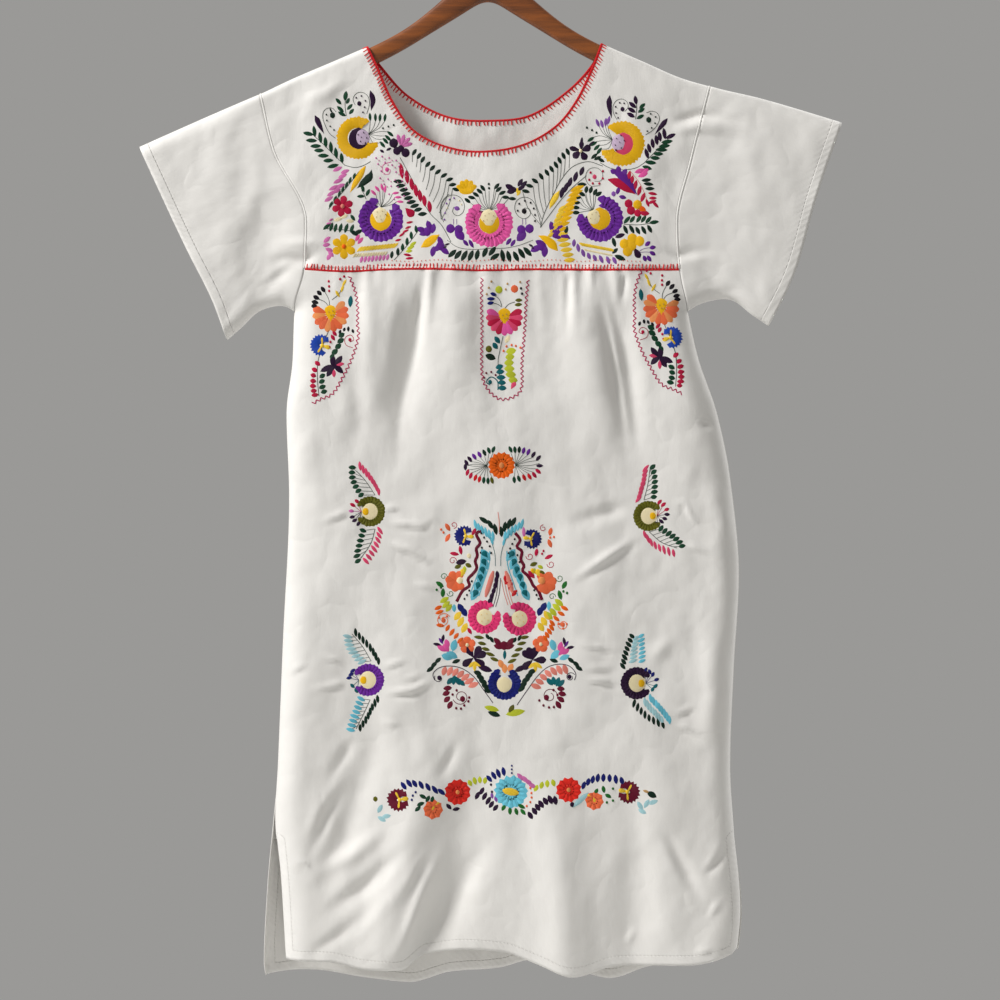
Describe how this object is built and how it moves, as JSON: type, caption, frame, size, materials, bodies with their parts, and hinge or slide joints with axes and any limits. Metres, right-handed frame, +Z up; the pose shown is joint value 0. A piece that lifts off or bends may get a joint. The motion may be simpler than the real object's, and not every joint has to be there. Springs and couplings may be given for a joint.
{
  "type": "embroidered dress on hanger",
  "caption": "White cotton dress with a scooped yoke, gathered skirt and loose sleeves, with floral embroidery, hung flat on a wooden hanger.",
  "frame": {"origin": "inside top of the hanger's hook, where a rail carries it", "axes": "+Z up, the dress's front towards -Y, the wearer's left towards +X"},
  "size_m": [0.808, 0.0628, 1.2367],
  "materials": {
    "cotton": "matte plain weave, slightly rumpled",
    "thread": "satin-stitched embroidery thread in many colours",
    "varnished_wood": "glossy clear varnish over brown wood",
    "hook_steel": "bright plated wire"
  },
  "bodies": {
    "root": {"yoke": "cotton", "skirt_front": "cotton", "skirt_back": "cotton", "sleeve_right": "cotton", "sleeve_left": "cotton", "hanger_arms": "varnished_wood", "hanger_hook": "hook_steel"}
  },
  "joints": []
}
